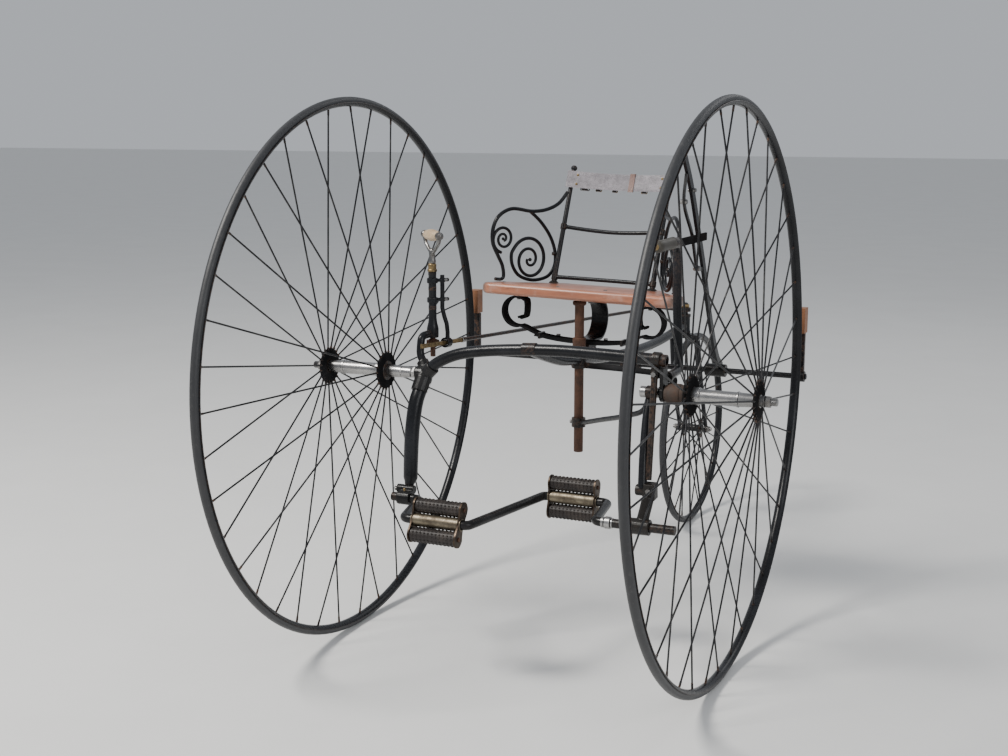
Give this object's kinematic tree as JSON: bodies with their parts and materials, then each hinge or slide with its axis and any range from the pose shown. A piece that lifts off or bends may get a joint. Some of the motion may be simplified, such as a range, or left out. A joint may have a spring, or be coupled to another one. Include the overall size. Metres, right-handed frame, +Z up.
{
  "type": "rear-steering tricycle",
  "caption": "Victorian rear-steering tricycle with tall spoked driving wheels, cranked pedal shaft, spade handle, sprung bench seat and small steered wheel behind.",
  "frame": {"origin": "on the ground under the middle of the whole machine's bounding box", "axes": "+Z up, +Y towards the small rear wheel, +X towards the rider's left"},
  "size_m": [1.092, 2.066, 1.22],
  "materials": {
    "black_enamel": "worn satin",
    "tyre_rubber": "matt",
    "nickel_plate": "dulled satin",
    "rusted_iron": "rough",
    "brass": "dull satin",
    "pale_wood": "satin",
    "seat_wood": "worn varnish",
    "leather": "worn",
    "pedal_rubber": "ribbed, matt",
    "brake_pad": "matt",
    "horn_grip": "worn"
  },
  "bodies": {
    "frame": {"right_lug": "black_enamel", "cross_tube": "black_enamel", "right_leg": "black_enamel", "right_bearing": "black_enamel", "left_axle_plate": "black_enamel", "left_strut": "black_enamel", "left_leg": "black_enamel", "left_bearing": "black_enamel", "backbone": "black_enamel", "side_stay": "black_enamel", "lower_stay": "black_enamel", "head_tube": "black_enamel", "steering_column": "black_enamel", "column_collar": "brass", "guide_arm": "black_enamel", "left_axle": "nickel_plate", "left_axle_nut": "nickel_plate", "left_drum": "rusted_iron", "right_axle": "nickel_plate", "right_axle_nut": "nickel_plate", "right_sleeve": "nickel_plate", "left_handle_post": "black_enamel", "left_grip": "horn_grip", "brake_quadrant": "black_enamel"},
    "left_wheel": {"left_tyre": "tyre_rubber", "left_rim": "black_enamel", "left_hub": "black_enamel"},
    "right_wheel": {"right_tyre": "tyre_rubber", "right_rim": "black_enamel", "right_hub": "black_enamel"},
    "crank": {"crankshaft": "black_enamel"},
    "left_pedal": {"left_pedal_frame": "brass", "left_pedal_upper_rubber": "pedal_rubber", "left_pedal_lower_rubber": "pedal_rubber"},
    "right_pedal": {"right_pedal_frame": "brass", "right_pedal_upper_rubber": "pedal_rubber", "right_pedal_lower_rubber": "pedal_rubber"},
    "handle": {"steering_spindle": "rusted_iron", "spade_fork": "nickel_plate", "spade_grip": "pale_wood"},
    "rack": {"steering_rack": "brass", "steering_rod": "black_enamel"},
    "rear_steering": {"rear_fork": "black_enamel", "rear_steering_arm": "black_enamel", "rear_axle": "nickel_plate"},
    "rear_wheel": {"rear_tyre": "tyre_rubber", "rear_rim": "black_enamel", "rear_hub": "black_enamel"},
    "brake": {"brake_shaft": "black_enamel", "brake_lever": "black_enamel", "right_brake_pad": "brake_pad", "left_brake_pad": "brake_pad"},
    "seat": {"seat_board": "seat_wood", "leaf_spring": "black_enamel", "seat_post": "rusted_iron", "c_spring": "black_enamel", "right_arm": "black_enamel", "left_arm": "black_enamel", "seat_back": "black_enamel", "back_strap": "leather"}
  },
  "joints": [
    {"name": "left_wheel_spin", "type": "hinge", "parent": "frame", "child": "left_wheel", "pos_m": [0.438, -0.423, 0.61], "axis": [1, 0, 0], "continuous": true},
    {"name": "right_wheel_spin", "type": "hinge", "parent": "frame", "child": "right_wheel", "pos_m": [-0.438, -0.423, 0.61], "axis": [1, 0, 0], "continuous": true},
    {"name": "crank_spin", "type": "hinge", "parent": "frame", "child": "crank", "pos_m": [0, -0.5145, 0.345], "axis": [1, 0, 0], "continuous": true},
    {"name": "left_pedal_spin", "type": "hinge", "parent": "crank", "child": "left_pedal", "pos_m": [0.082, -0.368, 0.345], "axis": [1, 0, 0], "continuous": true},
    {"name": "right_pedal_spin", "type": "hinge", "parent": "crank", "child": "right_pedal", "pos_m": [-0.104, -0.661, 0.345], "axis": [1, 0, 0], "continuous": true},
    {"name": "handle_turn", "type": "hinge", "parent": "frame", "child": "handle", "pos_m": [-0.277, -0.345, 0.913], "axis": [0, 0, 1], "range_deg": [-100, 100]},
    {"name": "rod_slide", "type": "slide", "parent": "frame", "child": "rack", "axis": [0.1145, 0.9927, -0.038], "range_m": [-0.0246, 0.0246]},
    {"name": "rear_fork_steer", "type": "hinge", "parent": "frame", "child": "rear_steering", "pos_m": [0, 0.657, 0.6], "axis": [0, 0, 1], "range_deg": [-10, 10]},
    {"name": "rear_wheel_spin", "type": "hinge", "parent": "rear_steering", "child": "rear_wheel", "pos_m": [0, 0.754, 0.279], "axis": [1, 0, 0], "continuous": true},
    {"name": "brake_apply", "type": "hinge", "parent": "frame", "child": "brake", "pos_m": [0, 0.217, 0.552], "axis": [1, 0, 0], "range_deg": [-8, 3]},
    {"name": "seat_height", "type": "slide", "parent": "frame", "child": "seat", "axis": [0, 0, 1], "range_m": [0, 0.03]}
  ],
  "couplings": [
    {"joint": "rod_slide", "follows": "handle_turn", "m_per_rad": 0.014},
    {"joint": "rear_fork_steer", "follows": "handle_turn", "ratio": -0.0987}
  ]
}
